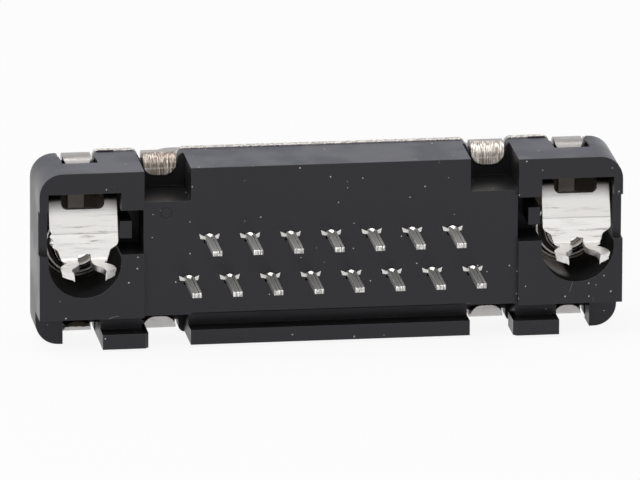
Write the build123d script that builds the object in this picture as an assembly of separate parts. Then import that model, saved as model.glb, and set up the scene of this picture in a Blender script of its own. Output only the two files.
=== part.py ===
from build123d import *
import os
from math import cos, radians, tan

# A fifteen way D-subminiature plug for a printed circuit board, shell size A.
# X runs along the contact rows, Y from the board towards the mating side, Z up.
# The origin is the centre of the steel flange's front face, midway between the
# jack screws. All lengths are in millimetres.

# Plug opening, and the distance from its ends to the jack screws
plug_width = 25.25
plug_height = 8.36
plug_corner = 2.6
plug_flare = 10.0
screw_offset = 4.035

# Contact field, with the least distance from an outer contact to the opening's end
contact_pitch = 2.74
row_spacing = 2.84
contact_margin = 2.9
pin_radius = 0.5
pin_reach = 5.1
pin_tip_round = 0.4
tail_width = 0.63
tail_thickness = 0.33
tail_reach = 4.4
tail_chamfer = 0.06
seam_width = 0.07
seam_depth = 0.05
seam_offset = 0.13
ear_span = 1.38
ear_lift = 0.04
ear_taper = 0.08
ear_groove = 0.13
ear_proud = 0.1
crest_width = 0.38
crest_height = 0.07
crest_reach = 0.6
blade_length = 2.6
contact_clearance = 0.02

# Steel shell
steel = 0.45
flange_side = 2.095
flange_inset = 0.11
flange_corner = 2.8
skirt_reach = 6.0
skirt_wall = 0.4
skirt_root_fillet = 0.5
skirt_lip_round = 0.12
drawn_edge = 0.3
dimple_radius = 0.9
dimple_depth = 0.28
dimple_spacing = 6.6

# Folded tabs of the shell
large_tab_shift = 0.07
large_tab_width = 2.25
large_tab_upper_flat = 0.73
large_tab_lower_flat = 0.25
large_tab_round = 0.85
small_tab_width = 1.9
small_tab_flat = 0.08
small_tab_round = 0.8
tab_upper_inset = 0.03
tab_lower_inset = 0.3
tab_bend = 0.7
tab_relief = 0.2
tab_notch_round = 0.45
tab_clearance = 0.05

# Moulded housing
body_depth = 5.5
body_inset = 0.08
standoff = 0.5
slab_depth = 3.0
body_corner = 1.55
web = 1.0
end_wall = 0.6
side_window = 3.95
foot_height = 1.225
foot_rise = 0.2
foot_lip = 0.3
foot_chamfer = 0.25
rail_depth = 1.4
rail_round = 0.25
large_pocket_width = 3.2
small_pocket_width = 2.42
small_pocket_wall = 2.7
small_pocket_floor = 5.1
boss_reach = 0.9
boss_clearance = 0.08
boss_round = 0.2
pin_countersink = 0.12
relief_width = 0.7
relief_height = 0.28
relief_depth = 1.2
mark_z = 3.15
mark_radius = 0.42
mark_line = 0.1
mark_depth = 0.06

# Cavities of the jack screws and board locks
lock_clearance = 0.15
cavity_ceiling = 4.78
channel_low = 0.5
channel_high = 3.55
channel_depth = 0.75
channel_pit = 3.2
pit_width = 1.56
stub_width = 0.8
stub_height = 1.2

# Board lock, one folded strap, with depths in front of the seat on the board
strap = 0.4
strap_width = 4.6
strap_top = 4.25
strap_bend = 0.55
head_depth = 1.55
crease_height = 1.85
crease_depth = 0.8
fork_depth = 1.35
shoulder_height = 0.8
shoulder_rise = 0.3
shoulder_round = 0.3
eye_inset = 0.23
stem_width = 1.1
stem_top = 3.35
window_width = 2.9
window_sill = 3.45
window_corner = 0.4
window_bridge = 1.1
neck_width = 2.9
neck_round = 0.22
waist_width = 2.45
waist_reach = 0.45
barb_width = 3.53
barb_reach = 2.0
barb_gap = 2.0
barb_round = 0.45
tip_width = 2.84
tip_gap = 1.72
tip_drop = 0.14
slot_width = 0.86
slot_top = 0.64
slot_reach = 0.45
fork_height = 0.05
fork_root = 0.9
fork_reach = 2.3
fork_bend = 0.3

# Threaded insert
insert_bore = 1.1
insert_neck = 1.42
insert_collar = 1.66
insert_collar_length = 0.55
insert_rim = 1.9
insert_flare = 0.3
insert_recess = 0.02
insert_chamfer = 0.22
insert_clearance = 0.05

# Reach of the tests that pick edges by their place
snap = 0.01

# Counts and places that follow from the sizes
wide_row = int((plug_width - 2 * contact_margin) / contact_pitch) + 1
row_counts = {1: wide_row - 1, -1: wide_row}
dimple_count = int((plug_width - 2 * plug_corner) / dimple_spacing)
cavity_width = strap_width + 2 * lock_clearance
eye_radius = strap_width / 2 - eye_inset
lock_spacing = plug_width + 2 * screw_offset
body_length = lock_spacing + cavity_width + 2 * end_wall
flange_length = body_length - 2 * flange_inset
flange_height = plug_height + 2 * flange_side
flange_rear = -steel
seat = flange_rear - body_depth
middle_rear = seat + standoff
slab_rear = flange_rear - slab_depth
web_rear = flange_rear - web
half_length = body_length / 2
half_height = flange_height / 2
half_pitch = lock_spacing / 2
large_pocket_outer = half_pitch - cavity_width / 2 - pit_width
large_pocket_inner = large_pocket_outer - large_pocket_width
large_tab_x = (large_pocket_inner + large_pocket_outer) / 2 + large_tab_shift
tab_widths = {large_tab_x: large_tab_width, half_pitch: small_tab_width}
tab_edges = {1: half_height - tab_upper_inset, -1: half_height - tab_lower_inset}
tab_root = tab_edges[-1] - tab_bend
small_pocket_inner = half_pitch - small_pocket_width / 2
small_pocket_outer = half_pitch + small_pocket_width / 2
foot_top = half_height - foot_height
eye_front = flange_rear - strap


def prism(section, rear, front):
    """Extrude a section drawn in X and Z from depth rear to depth front."""
    return extrude(Plane.XZ.offset(-front) * section, amount=front - rear)


def block(x_range, y_range, z_range):
    """Box between three pairs of limits."""
    sides = [high - low for low, high in (x_range, y_range, z_range)]
    centre = [(high + low) / 2 for low, high in (x_range, y_range, z_range)]
    return Pos(*centre) * Box(*sides)


def both_ends(piece):
    """The piece together with its mirror image across the connector's middle."""
    return piece + mirror(piece, about=Plane.YZ)


def on_side(piece, side):
    """The piece itself for side 1, or its image below the connector's middle for side -1."""
    return piece if side == 1 else mirror(piece, about=Plane.XY)


def plug_section(growth=0.0):
    """D outline of the mating opening, wide side down, grown outwards by a distance."""
    slope = radians(plug_flare)
    corner_shift = plug_corner * (1 / cos(slope) - 1 + tan(slope))
    outline = Trapezoid(plug_width + 2 * corner_shift, plug_height, 90 - plug_flare)
    outline = fillet(outline.vertices(), plug_corner)
    return outline if growth == 0 else offset(outline, amount=growth)


def edges_along_x(solid, y, z):
    """Straight edges along X that lie at depth y and height z."""
    return solid.edges().filter_by(Axis.X).filter_by(
        lambda edge: abs(edge.center().Y - y) < snap and abs(edge.center().Z - z) < snap
    )


def contact_places():
    """Name, X, Z and row sign of every contact, upper row first."""
    places = []
    for row, count in row_counts.items():
        for column in range(count):
            x = (column - (count - 1) / 2) * contact_pitch
            places.append((f"contact_{len(places) + 1:02d}", x, row * row_spacing / 2, row))
    return places


def ear_section(growth=0.0):
    """Contact's pressed ears with the groove beside each, seen along the contact."""
    half = ear_span / 2
    top = tail_thickness / 2
    points = [
        (-half, top + ear_lift),
        (-half + ear_taper, ear_lift - top),
        (-tail_width / 2, -top),
        (tail_width / 2, -top),
        (half - ear_taper, ear_lift - top),
        (half, top + ear_lift),
        (tail_width / 2, top - ear_groove),
        (crest_width / 2, top),
        (-crest_width / 2, top),
        (-tail_width / 2, top - ear_groove),
    ]
    outline = make_face(Polyline(*points, close=True))
    return outline if growth == 0 else offset(outline, amount=growth, kind=Kind.INTERSECTION)


def contact(row):
    """One contact: round pin, pressed ears, and a flat tail with a rolled seam and a crest."""
    blade_rear = middle_rear - ear_proud
    blade_front = blade_rear + blade_length
    pin = prism(Circle(pin_radius), blade_front - pin_radius, pin_reach)
    pin = fillet(pin.edges().sort_by(Axis.Y)[-1], pin_tip_round)
    ears = prism(ear_section(), blade_rear, blade_front)
    tail = prism(Rectangle(tail_width, tail_thickness), middle_rear - tail_reach, blade_rear)
    tail = chamfer(tail.faces().sort_by(Axis.Y)[0].edges(), tail_chamfer)
    seam_top = tail_thickness / 2
    seam = block(
        (row * seam_offset - seam_width / 2, row * seam_offset + seam_width / 2),
        (middle_rear - tail_reach, blade_rear),
        (seam_top - seam_depth, seam_top + seam_depth),
    )
    crest = Cone(crest_width / 2, 0, crest_reach, rotation=(90, 0, 0))
    crest = Pos(0, blade_rear - crest_reach / 2, seam_top + crest_height - crest_width / 2) * crest
    return pin + ears + (tail - seam) + crest


def contact_passage():
    """Space that one contact takes through the housing, with its clearance."""
    blade_front = middle_rear - ear_proud + blade_length
    bore = Circle(pin_radius + contact_clearance)
    round_hole = prism(bore, blade_front - pin_radius - contact_clearance, boss_reach)
    entry = prism(Circle(pin_radius + pin_countersink), boss_reach - pin_countersink, boss_reach)
    ears = prism(ear_section(contact_clearance), middle_rear, blade_front + contact_clearance)
    relief_top = -tail_thickness / 2
    relief = block(
        (-relief_width / 2, relief_width / 2),
        (middle_rear, middle_rear + relief_depth),
        (relief_top - relief_height, relief_top),
    )
    return round_hole + entry + ears + relief


def lock_cavity():
    """Arched hole through the housing at one jack screw, with its side channel."""
    arch = Pos(half_pitch, cavity_ceiling / 2) * Rectangle(cavity_width, cavity_ceiling)
    arch += Pos(half_pitch, 0) * Circle(cavity_width / 2)
    hole = prism(arch, seat, flange_rear)
    inner_wall = half_pitch - cavity_width / 2
    shallow = block(
        (half_pitch, half_length + steel),
        (seat, seat + channel_depth),
        (channel_low, channel_high),
    )
    pit = block(
        (large_pocket_outer, inner_wall),
        (seat, seat + channel_pit),
        (channel_low, channel_high),
    )
    stub_middle = (channel_low + channel_high) / 2
    stub = block(
        (inner_wall - stub_width, inner_wall),
        (seat + channel_depth, seat + channel_pit),
        (stub_middle - stub_height / 2, stub_middle + stub_height / 2),
    )
    return hole + shallow + (pit - stub)


def tab_pockets():
    """Room for the shell's folded tabs, above and below, at one end."""
    large = block(
        (large_pocket_inner, large_pocket_outer), (seat, web_rear), (side_window, half_height)
    )
    small_rear = seat + small_pocket_wall
    small_top = block(
        (small_pocket_inner, small_pocket_outer),
        (small_rear, web_rear),
        (small_pocket_floor, half_height),
    )
    small_low = block(
        (small_pocket_inner, small_pocket_outer), (seat, web_rear), (-half_height, -side_window)
    )
    pockets = large + mirror(large, about=Plane.XY) + small_top + small_low
    for x in tab_widths:
        for side in tab_edges:
            pockets += on_side(tab_notch(x, side), side)
    return pockets


def tab_gap(x, low):
    """Gap for a tab in the upper edge of the flange or web, its outer corners rounded."""
    half = tab_widths[x] / 2 + tab_relief
    gap = Pos(x, low) * Rectangle(2 * half, half_height, align=(Align.CENTER, Align.MIN))
    flare = Pos(x, half_height) * Rectangle(2 * (half + tab_notch_round), 2 * tab_notch_round)
    for side in (1, -1):
        centre = Pos(x + side * (half + tab_notch_round), half_height - tab_notch_round)
        flare -= centre * Circle(tab_notch_round)
    return gap + flare


def tab_notch(x, side):
    """Notch in the web's upper edge, with the rounded nose that a tab wraps."""
    half = tab_widths[x] / 2 + tab_relief
    edge = tab_edges[side] - steel - tab_clearance
    nose_round = tab_bend - steel + tab_clearance
    notch = prism(tab_gap(x, edge - nose_round), web_rear, flange_rear)
    nose = block((x - half, x + half), (web_rear, flange_rear), (edge - 2 * nose_round, edge))
    nose = fillet(nose.edges().filter_by(Axis.X).group_by(Axis.Z)[-1], nose_round)
    return notch - nose


def housing():
    """Moulded insulator with its raised ends, rails, feet and plug boss."""
    outline = RectangleRounded(body_length, flange_height - body_inset, body_corner)
    body = prism(Pos(0, -body_inset / 2) * outline, seat, flange_rear)
    body -= block(
        (-large_pocket_outer, large_pocket_outer),
        (seat, middle_rear),
        (-half_height, half_height),
    )

    lip = block(
        (large_pocket_outer - foot_lip, large_pocket_outer),
        (seat, slab_rear),
        (foot_rise - half_height, -foot_top),
    )
    lip = chamfer(lip.edges().filter_by(Axis.Z).group_by(Axis.X)[0].sort_by(Axis.Y)[0], foot_chamfer)

    corner_cut = block(
        (small_pocket_outer, half_length),
        (seat, slab_rear),
        (-half_height, -side_window),
    )
    body -= both_ends(corner_cut)
    body -= block(
        (-small_pocket_inner, small_pocket_inner),
        (seat, web_rear),
        (-half_height, foot_rise - half_height),
    )

    middle_rail = block(
        (-large_pocket_inner, large_pocket_inner),
        (middle_rear, middle_rear + rail_depth),
        (-foot_top, -side_window),
    )
    end_rail = block(
        (large_pocket_outer, small_pocket_inner), (seat, seat + rail_depth), (-foot_top, -side_window)
    )
    body -= middle_rail + both_ends(end_rail)
    body = fillet(edges_along_x(body, middle_rear, -side_window), rail_round)
    body = body - both_ends(tab_pockets() + lock_cavity()) + both_ends(lip)

    boss = prism(plug_section(-boss_clearance), flange_rear, boss_reach)
    boss = fillet(boss.faces().sort_by(Axis.Y)[-1].edges(), boss_round)
    body += boss

    mark = Pos(-large_tab_x, mark_z) * (Circle(mark_radius) - Circle(mark_radius - mark_line))
    body -= prism(mark, middle_rear, middle_rear + mark_depth)

    passage = contact_passage()
    for _, x, z, _ in contact_places():
        body -= Pos(x, 0, z) * passage
    return body


def folded_tab(x, edge, flat, end_round):
    """Upper tab of the flange, folded back over the web and down its rear face."""
    width = tab_widths[x]
    rear = web_rear - steel
    centre = steel / 2
    tip = edge - tab_bend - flat
    path = FilletPolyline(
        (-centre, tab_root - steel),
        (-centre, edge - centre),
        (rear + centre, edge - centre),
        (rear + centre, tip),
        radius=tab_bend - centre,
    )
    strip = extrude(Plane.YZ.offset(x - width / 2) * trace(path, steel), amount=width)
    up_from_tip = (Align.CENTER, Align.MIN)
    end_view = Rectangle(width, half_height, align=up_from_tip)
    end_round = min(end_round, width / 2 - snap)
    end_view = fillet(end_view.vertices().group_by(Axis.Y)[0], end_round)
    waste = Rectangle(width, end_round, align=up_from_tip) - end_view
    return strip - prism(Pos(x, tip) * waste, rear, rear + tab_bend)


def dimples():
    """Contact dents along the top and bottom of the skirt, with their inner bumps."""
    outside = plug_height / 2 + skirt_wall
    centre_z = outside + dimple_radius - dimple_depth
    bumps, dents = Part(), Part()
    for index in range(dimple_count):
        x = (index - (dimple_count - 1) / 2) * dimple_spacing
        for side in (1, -1):
            place = Pos(x, skirt_reach / 2, side * centre_z)
            bumps += place * Sphere(dimple_radius + skirt_wall)
            dents += place * Sphere(dimple_radius)
    return bumps, dents


def insert_seat():
    """Hole through the flange for one insert, flared in front for its rolled rim."""
    section = make_face(
        Polyline(
            (0, flange_rear),
            (insert_neck + insert_clearance, flange_rear),
            (insert_neck + insert_clearance, -insert_flare),
            (insert_rim + insert_clearance, 0),
            (0, 0),
            close=True,
        )
    )
    return revolve(section, Axis.Y)


def shell():
    """Drawn steel shell: flange, D skirt with dimples, and eight folded tabs."""
    outline = RectangleRounded(flange_length, flange_height, flange_corner)
    for x in tab_widths:
        gaps = tab_gap(x, tab_root)
        gaps += mirror(gaps, about=Plane.YZ)
        outline -= gaps + mirror(gaps, about=Plane.XZ)
    flange = prism(outline, flange_rear, 0) - both_ends(Pos(half_pitch, 0, 0) * insert_seat())

    skirt = prism(plug_section(skirt_wall), flange_rear, skirt_reach)
    body = flange + skirt
    end_limit = plug_width / 2 + skirt_wall
    side_limit = plug_height / 2 + skirt_wall + snap
    root = body.edges().filter_by(
        lambda edge: abs(edge.center().Y) < snap
        and abs(edge.center().X) < end_limit
        and abs(edge.center().Z) < side_limit
    )
    root_room = tab_root - plug_height / 2 - skirt_wall
    body = fillet(root, min(skirt_root_fillet, root_room - snap))
    opening = prism(plug_section(), flange_rear, skirt_reach)
    bumps, dents = dimples()
    body = body - opening + (bumps & opening) - dents
    rear_edge = body.faces().sort_by(Axis.Y)[0].inner_wires().sort_by(lambda wire: wire.length)[-1].edges()
    body = fillet(rear_edge, drawn_edge)
    lip = body.faces().sort_by(Axis.Y)[-1]
    body = fillet(lip.outer_wire().edges(), skirt_lip_round)

    for x, side, flat, end_round in (
        (large_tab_x, 1, large_tab_upper_flat, large_tab_round),
        (large_tab_x, -1, large_tab_lower_flat, large_tab_round),
        (half_pitch, 1, small_tab_flat, small_tab_round),
        (half_pitch, -1, small_tab_flat, small_tab_round),
    ):
        tab = folded_tab(x, tab_edges[side], flat, end_round)
        body += both_ends(on_side(tab, side))
    return body


def fork_outline():
    """Plan view of the board lock's two splayed legs, about its own centre."""
    root = seat + fork_root
    rear = seat - fork_reach - strap
    front = seat + fork_depth + strap
    side = Spline(
        (neck_width / 2, root),
        (waist_width / 2, root - waist_reach),
        (barb_width / 2, root - barb_reach),
        tangents=[(0, -1), (0, -1)],
    )
    tip = ThreePointArc(
        (barb_width / 2, root - barb_reach - barb_round),
        (tip_width / 2, root - barb_reach - 2 * barb_round),
        (tip_gap / 2, rear),
    )
    half = Polyline((0, front), (neck_width / 2, front), (neck_width / 2, root)) + side
    half += Polyline((barb_width / 2, root - barb_reach), (barb_width / 2, root - barb_reach - barb_round))
    half += tip + Polyline((tip_gap / 2, rear), (0, rear))
    spread = Spline(
        (slot_width / 2, root - slot_reach),
        (barb_gap / 2, root - barb_reach),
        (tip_gap / 2, rear),
        tangents=[(0, -1), (-1, -2)],
    )
    slot = Polyline((0, front), (slot_width / 2, front), (slot_width / 2, root - slot_reach)) + spread
    slot += Polyline((tip_gap / 2, rear), (0, rear))
    legs = make_face(half + mirror(half, about=Plane.YZ))
    return legs - make_face(slot + mirror(slot, about=Plane.YZ))


def board_lock():
    """Folded strap about its own centre: eye, stem, bridged top, plate and fork."""
    half = strap / 2
    eye_depth = flange_rear - half
    tip = seat - fork_reach
    path = FilletPolyline(
        (eye_depth, -eye_radius),
        (eye_depth, strap_top),
        (seat + head_depth, strap_top),
        (seat + crease_depth, crease_height),
        (seat + fork_depth, fork_height),
        (tip + tip_drop, fork_height),
        (tip, fork_height - tip_drop),
        radius=[strap_bend, strap_bend, strap_bend, fork_bend, fork_bend],
    )
    profile = trace(path, strap)
    strip = extrude(Plane.YZ.offset(-strap_width / 2) * profile, amount=strap_width)

    up_from_line = (Align.CENTER, Align.MIN)
    neck_low = shoulder_height - strap
    shoulder = strap_width / 2
    neck = neck_width / 2
    front_view = FilletPolyline(
        (neck, neck_low),
        (neck, shoulder_height),
        (shoulder, shoulder_height + shoulder_rise),
        (shoulder, strap_top),
        radius=[neck_round, shoulder_round],
    )
    front_view += Polyline((shoulder, strap_top), (0, strap_top))
    front_view += Polyline((0, neck_low), (neck, neck_low))
    front_view = make_face(front_view + mirror(front_view, about=Plane.YZ))
    window = Rectangle(window_width, strap_top, align=up_from_line)
    window = Pos(0, window_sill) * fillet(window.vertices().group_by(Axis.Y)[0], window_corner)
    slot_round = slot_width / 2
    slot = Pos(0, neck_low) * Rectangle(slot_width, slot_top - slot_round - neck_low, align=up_from_line)
    slot += Pos(0, slot_top - slot_round) * Circle(slot_round)
    bridge_front = eye_front - window_bridge
    plate = strip & prism(front_view - window - slot, tip, bridge_front)
    legs = strip & extrude(Plane.XY.offset(-eye_radius) * fork_outline(), amount=eye_radius + neck_low)

    foot_view = Circle(eye_radius) + Pos(0, stem_top / 2) * Rectangle(stem_width, stem_top)
    foot_view += Pos(0, stem_top) * Rectangle(strap_width, strap_top, align=up_from_line)
    foot_view -= Circle(insert_neck + insert_clearance)
    foot = strip & prism(foot_view, bridge_front, flange_rear)
    return plate + legs + foot


def threaded_insert():
    """Clinched insert with its rear collar, its neck and its rim rolled flush in front."""
    collar_rear = eye_front - insert_collar_length
    front = -insert_recess
    section = make_face(
        Polyline(
            (insert_bore, collar_rear + insert_chamfer),
            (insert_bore + insert_chamfer, collar_rear),
            (insert_collar - insert_chamfer / 2, collar_rear),
            (insert_collar, collar_rear + insert_chamfer / 2),
            (insert_collar, eye_front),
            (insert_neck, eye_front),
            (insert_neck, -insert_flare),
            (insert_rim, front),
            (insert_bore + insert_chamfer, front),
            (insert_bore, front - insert_chamfer),
            close=True,
        )
    )
    return revolve(section, Axis.Y)


os.makedirs("parts", exist_ok=True)

nodes = {"housing": housing(), "shell": shell()}
contacts = {row: contact(row) for row in row_counts}
for name, x, z, row in contact_places():
    nodes[name] = Pos(x, 0, z) * contacts[row]
lock, insert = board_lock(), threaded_insert()
for side, x in (("left", -half_pitch), ("right", half_pitch)):
    nodes[f"board_lock_{side}"] = Pos(x, 0, 0) * lock
    nodes[f"threaded_insert_{side}"] = Pos(x, 0, 0) * insert

for name, solid in nodes.items():
    export_step(solid, f"parts/{name}.step")
    print(name, len(solid.solids()), round(solid.volume, 3))
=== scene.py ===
"""Looks of a fifteen way D-subminiature board plug, built round its solids.

Lengths are in metres and follow the part's frame: +X runs along the contact rows,
+Y from the board towards the mating side, and +Z up. The origin is the centre of
the steel flange's front face, midway between the jack screws.
"""

import logging
import math
from dataclasses import dataclass
from enum import Enum
from typing import Any, Sequence, TypeAlias

import bmesh
import bpy
from mathutils import Matrix, Vector, noise


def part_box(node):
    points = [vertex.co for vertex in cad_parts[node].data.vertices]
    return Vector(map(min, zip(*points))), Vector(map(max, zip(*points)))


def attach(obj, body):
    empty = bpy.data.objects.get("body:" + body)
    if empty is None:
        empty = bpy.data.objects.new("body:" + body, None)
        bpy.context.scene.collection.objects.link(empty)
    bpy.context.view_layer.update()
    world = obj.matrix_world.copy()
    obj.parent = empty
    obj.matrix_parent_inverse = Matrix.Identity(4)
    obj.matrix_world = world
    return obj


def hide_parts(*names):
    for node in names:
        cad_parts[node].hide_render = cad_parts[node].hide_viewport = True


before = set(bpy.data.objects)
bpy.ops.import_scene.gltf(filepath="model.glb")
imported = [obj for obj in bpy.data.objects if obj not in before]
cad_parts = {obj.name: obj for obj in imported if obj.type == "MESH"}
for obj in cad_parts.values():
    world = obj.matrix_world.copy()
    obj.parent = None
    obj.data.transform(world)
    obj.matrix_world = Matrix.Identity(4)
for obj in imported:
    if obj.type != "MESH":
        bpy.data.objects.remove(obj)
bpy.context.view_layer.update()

MM = 0.001
BODY = "root"
EDGE_ROUND = 0.06 * MM
CREVICE_REACH = 3.0 * MM
SPECK_BEND = 0.12 * MM
LOW_LEFT = (-0.68, -0.73)
SCREW_X = 16.66 * MM
LOG = logging.getLogger("connector")

Colour: TypeAlias = tuple[float, float, float]
Triple: TypeAlias = tuple[float, float, float]
Span: TypeAlias = tuple[float, float]
Socket: TypeAlias = bpy.types.NodeSocket


class Side(Enum):
    """The two ends of the connector, with the sign of their X."""

    LEFT = -1
    RIGHT = 1

    def node(self, stem: str) -> str:
        """Name of this end's node or piece."""
        return f"{stem}_{self.name.lower()}"


class Desk:
    """Adds and joins the nodes of one tree."""

    def __init__(self, tree: bpy.types.NodeTree) -> None:
        """Work on a tree that exists."""
        self.tree = tree

    def add(self, kind: str, inputs: dict[Any, Any] | None = None, **settings: Any) -> bpy.types.Node:
        """Add one node.

        Args:
            kind: The node's type name.
            inputs: Values or sockets for its inputs, by name or index.
            **settings: Properties of the node itself.

        Returns:
            The new node.
        """
        node = self.tree.nodes.new(kind)
        for name, value in settings.items():
            setattr(node, name, value)
        for key, value in (inputs or {}).items():
            self.feed(node.inputs[key], value)
        return node

    def feed(self, socket: Socket, value: Any) -> None:
        """Give an input socket a link or a plain value; a plain colour is made opaque."""
        if isinstance(value, Socket):
            self.tree.links.new(value, socket)
        elif socket.type == "RGBA":
            socket.default_value = (*value[:3], 1.0)
        else:
            socket.default_value = value

    def math(self, operation: str, first: Any, second: Any = 0.0, clamp: bool = False) -> Socket:
        """Result of one operation on two numbers."""
        node = self.add("ShaderNodeMath", {0: first, 1: second}, operation=operation, use_clamp=clamp)
        return node.outputs[0]

    def product(self, *factors: Any) -> Socket:
        """Product of numbers, such as masks that have to hold together."""
        result = factors[0]
        for factor in factors[1:]:
            result = self.math("MULTIPLY", result, factor)
        return result

    def over(self, value: Any, limit: Any) -> Socket:
        """One where a value is greater than a limit."""
        return self.math("GREATER_THAN", value, limit)

    def below(self, value: Any, limit: Any) -> Socket:
        """One where a value is less than a limit."""
        return self.math("LESS_THAN", value, limit)

    def within(self, value: Any, middle: float, reach: Any) -> Socket:
        """One where a value lies within a reach of the middle."""
        return self.math("LESS_THAN", self.math("ABSOLUTE", self.math("SUBTRACT", value, middle)), reach)

    def remap(self, value: Any, low: float, high: float, start: Any = 0.0, end: Any = 1.0) -> Socket:
        """Smooth step of a value between two limits.

        Args:
            value: The socket that is read.
            low: Value that gives the start.
            high: Value that gives the end.
            start: Result at and below the low limit.
            end: Result at and above the high limit.

        Returns:
            The remapped value's socket.
        """
        inputs = {"Value": value, "From Min": low, "From Max": high, "To Min": start, "To Max": end}
        node = self.add("ShaderNodeMapRange", inputs, interpolation_type="SMOOTHSTEP")
        return node.outputs["Result"]

    def fade(self, factor: Any, first: Any, second: Any) -> Socket:
        """Number that goes smoothly from the first to the second one with the factor."""
        return self.remap(factor, 0.0, 1.0, first, second)

    def blend(self, factor: Any, first: Any, second: Any) -> Socket:
        """Mix of two colours."""
        node = self.add("ShaderNodeMix", {"Factor": factor}, data_type="RGBA")
        self.feed(node.inputs[6], first)
        self.feed(node.inputs[7], second)
        return node.outputs[2]

    def noise(self, vector: Any, scale: Any, detail: float = 2.0, roughness: float = 0.5) -> Socket:
        """Value of a noise pattern."""
        inputs = {"Vector": vector, "Scale": scale, "Detail": detail, "Roughness": roughness}
        return self.add("ShaderNodeTexNoise", inputs).outputs["Fac"]

    def split(self, vector: Any) -> tuple[Socket, ...]:
        """X, Y and Z of a vector."""
        return tuple(self.add("ShaderNodeSeparateXYZ", {0: vector}).outputs)


class Effects:
    """Shader effects that several finishes share, each a node group built once."""

    def __init__(self) -> None:
        """Build every shared group."""
        self.grain = self._grain()
        self.strokes = self._strokes()
        self.specks = self._specks()
        self.edges = self._edges()
        self.crevices = self._crevices()
        self.screw = self._screw()

    @staticmethod
    def _open(
        name: str, inputs: Sequence[tuple[str, str, Any]], outputs: Sequence[tuple[str, str]]
    ) -> tuple[Desk, Any, Any]:
        """Start a shader group.

        Args:
            name: The group's name.
            inputs: Name, socket type and default of each input.
            outputs: Name and socket type of each output.

        Returns:
            The group's desk, its input node's outputs and its output node's inputs.
        """
        tree = bpy.data.node_groups.new(name, "ShaderNodeTree")
        for title, kind, default in inputs:
            socket = tree.interface.new_socket(title, in_out="INPUT", socket_type=kind)
            if default is not None:
                socket.default_value = default
        for title, kind in outputs:
            tree.interface.new_socket(title, in_out="OUTPUT", socket_type=kind)
        desk = Desk(tree)
        return desk, desk.add("NodeGroupInput").outputs, desk.add("NodeGroupOutput").inputs

    def _grain(self) -> bpy.types.NodeTree:
        """Fine moulded or plated grain, with a slow variation over the surface."""
        desk, given, result = self._open(
            "surface_grain",
            [
                ("Vector", "NodeSocketVector", None),
                ("Fine", "NodeSocketFloat", 9000.0),
                ("Slow", "NodeSocketFloat", 300.0),
            ],
            [("Height", "NodeSocketFloat"), ("Cloud", "NodeSocketFloat")],
        )
        desk.feed(result["Height"], desk.noise(given["Vector"], given["Fine"], 3.0, 0.6))
        cloud = desk.noise(given["Vector"], given["Slow"], 2.0)
        desk.feed(result["Cloud"], desk.remap(cloud, 0.35, 0.65))
        return desk.tree

    def _strokes(self) -> bpy.types.NodeTree:
        """Long rolled or drawn lines, and separate short scratches among them."""
        desk, given, result = self._open(
            "surface_strokes",
            [
                ("Vector", "NodeSocketVector", None),
                ("Stretch", "NodeSocketVector", (1.0, 1.0, 1.0)),
                ("Scale", "NodeSocketFloat", 1000.0),
                ("Width", "NodeSocketFloat", 0.01),
                ("Share", "NodeSocketFloat", 0.5),
            ],
            [("Lines", "NodeSocketFloat"), ("Scratch", "NodeSocketFloat")],
        )
        stretched = {0: given["Vector"], 1: given["Stretch"]}
        pulled = desk.add("ShaderNodeVectorMath", stretched, operation="MULTIPLY")
        desk.feed(result["Lines"], desk.noise(pulled.outputs[0], given["Scale"], 3.0, 0.6))
        middle = desk.math("SUBTRACT", desk.noise(pulled.outputs[0], given["Scale"], 0.0), 0.5)
        contour = desk.math("DIVIDE", desk.math("ABSOLUTE", middle), given["Width"])
        thin = desk.math("SUBTRACT", 1.0, contour, clamp=True)
        patches = desk.noise(given["Vector"], desk.product(given["Scale"], 0.6), 1.0)
        shown = desk.over(patches, desk.math("SUBTRACT", 1.0, given["Share"]))
        desk.feed(result["Scratch"], desk.product(thin, shown))
        return desk.tree

    def _specks(self) -> bpy.types.NodeTree:
        """Scattered specks of dust, each of its own size."""
        desk, given, result = self._open(
            "dust_specks",
            [
                ("Vector", "NodeSocketVector", None),
                ("Scale", "NodeSocketFloat", 600.0),
                ("Size", "NodeSocketFloat", 0.1),
                ("Share", "NodeSocketFloat", 0.1),
            ],
            [("Mask", "NodeSocketFloat")],
        )
        bent = desk.add("ShaderNodeTexNoise", {"Vector": given["Vector"], "Scale": 2500.0, "Detail": 1.0})
        bend = {0: bent.outputs["Color"], "Scale": SPECK_BEND}
        push = desk.add("ShaderNodeVectorMath", bend, operation="SCALE")
        place = desk.add("ShaderNodeVectorMath", {0: given["Vector"], 1: push.outputs[0]}, operation="ADD")
        cells = desk.add("ShaderNodeTexVoronoi", {"Vector": place.outputs[0], "Scale": given["Scale"]})
        red, green, _ = desk.split(cells.outputs["Color"])
        radius = desk.product(given["Size"], desk.math("ADD", green, 0.25))
        inside = desk.below(cells.outputs["Distance"], radius)
        desk.feed(result["Mask"], desk.product(inside, desk.below(red, given["Share"])))
        return desk.tree

    def _edges(self) -> bpy.types.NodeTree:
        """Slightly rounded edges, and a mask of the places where they are worn."""
        desk, given, result = self._open(
            "rounded_edges",
            [("Worn", "NodeSocketFloat", 0.5)],
            [("Normal", "NodeSocketVector"), ("Edge", "NodeSocketFloat")],
        )
        rounded = desk.add("ShaderNodeBevel", {"Radius": EDGE_ROUND}, samples=4)
        flat = desk.add("ShaderNodeNewGeometry").outputs["True Normal"]
        likeness = desk.add("ShaderNodeVectorMath", {0: rounded.outputs[0], 1: flat}, operation="DOT_PRODUCT")
        turn = desk.math("SUBTRACT", 1.0, likeness.outputs["Value"])
        desk.feed(result["Normal"], rounded.outputs[0])
        desk.feed(result["Edge"], desk.product(desk.remap(turn, 0.004, 0.12), given["Worn"]))
        return desk.tree

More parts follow.
